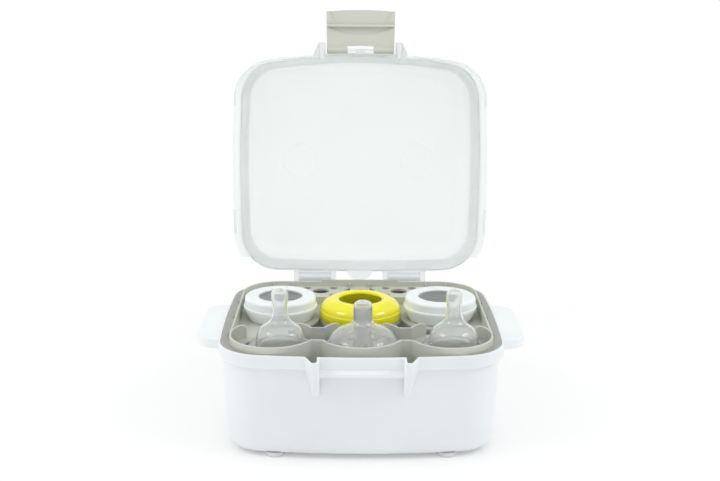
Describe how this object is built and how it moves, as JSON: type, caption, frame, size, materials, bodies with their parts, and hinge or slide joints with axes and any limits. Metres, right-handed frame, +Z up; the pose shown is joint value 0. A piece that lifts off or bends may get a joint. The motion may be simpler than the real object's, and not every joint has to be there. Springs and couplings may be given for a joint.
{
  "type": "microwave bottle sterilizer",
  "caption": "Microwave steam sterilizer for baby bottles: a deep tub with side handles, a lift-out pocket rack, a hinged clear hood with a latch, and loose screw rings and teats.",
  "frame": {"origin": "on the floor under the middle of the whole part, with its lid open", "axes": "+X to the right along the tub's width, +Y to the back where the lid is hinged, +Z up"},
  "size_m": [0.2806, 0.315, 0.3553],
  "materials": {
    "tub_white": "satin moulded",
    "foot_soft": "matte",
    "rack_grey": "satin moulded",
    "lid_clear": "frosted clear",
    "latch_grey": "satin moulded",
    "ring_white": "gloss",
    "ring_yellow": "gloss",
    "teat_silicone": "clear silicone",
    "vent_clear": "clear moulded"
  },
  "bodies": {
    "tub": {"base_tub": "tub_white", "foot_front_left": "foot_soft", "foot_front_right": "foot_soft", "foot_rear_left": "foot_soft", "foot_rear_right": "foot_soft"},
    "lid": {"lid": "lid_clear", "hinge_arm_left": "lid_clear", "hinge_arm_right": "lid_clear", "latch_bracket": "lid_clear"},
    "latch": {"latch": "latch_grey"},
    "rack": {"rack_tray": "rack_grey", "rack_wall": "rack_grey", "rack_divider_left": "rack_grey", "rack_divider_right": "rack_grey", "rack_shelf": "rack_grey", "rack_flange": "rack_grey"},
    "left_ring": {"ring_left": "ring_white"},
    "middle_ring": {"ring_middle": "ring_yellow"},
    "right_ring": {"ring_right": "ring_white"},
    "left_teat": {"teat_left": "teat_silicone"},
    "middle_teat": {"teat_middle": "teat_silicone", "vent_insert": "vent_clear"},
    "right_teat": {"teat_right": "teat_silicone"}
  },
  "joints": [
    {"name": "lid_hinge", "type": "hinge", "parent": "tub", "child": "lid", "pos_m": [0, 0.0711, 0.098], "axis": [-1, 0, 0], "range_deg": [-98, 0]},
    {"name": "latch_hinge", "type": "hinge", "parent": "lid", "child": "latch", "pos_m": [0, 0.10238, 0.31698], "axis": [-1, 0, 0], "range_deg": [-90, 0]},
    {"name": "rack_lift", "type": "slide", "parent": "tub", "child": "rack", "axis": [0, 0, 1], "range_m": [0, 0.12]},
    {"name": "left_ring_lift", "type": "slide", "parent": "rack", "child": "left_ring", "axis": [0, 0, 1], "range_m": [0, 0.06]},
    {"name": "middle_ring_lift", "type": "slide", "parent": "rack", "child": "middle_ring", "axis": [0, 0, 1], "range_m": [0, 0.06]},
    {"name": "right_ring_lift", "type": "slide", "parent": "rack", "child": "right_ring", "axis": [0, 0, 1], "range_m": [0, 0.06]},
    {"name": "left_teat_lift", "type": "slide", "parent": "rack", "child": "left_teat", "axis": [0, 0, 1], "range_m": [0, 0.06]},
    {"name": "middle_teat_lift", "type": "slide", "parent": "rack", "child": "middle_teat", "axis": [0, 0, 1], "range_m": [0, 0.06]},
    {"name": "right_teat_lift", "type": "slide", "parent": "rack", "child": "right_teat", "axis": [0, 0, 1], "range_m": [0, 0.06]}
  ]
}
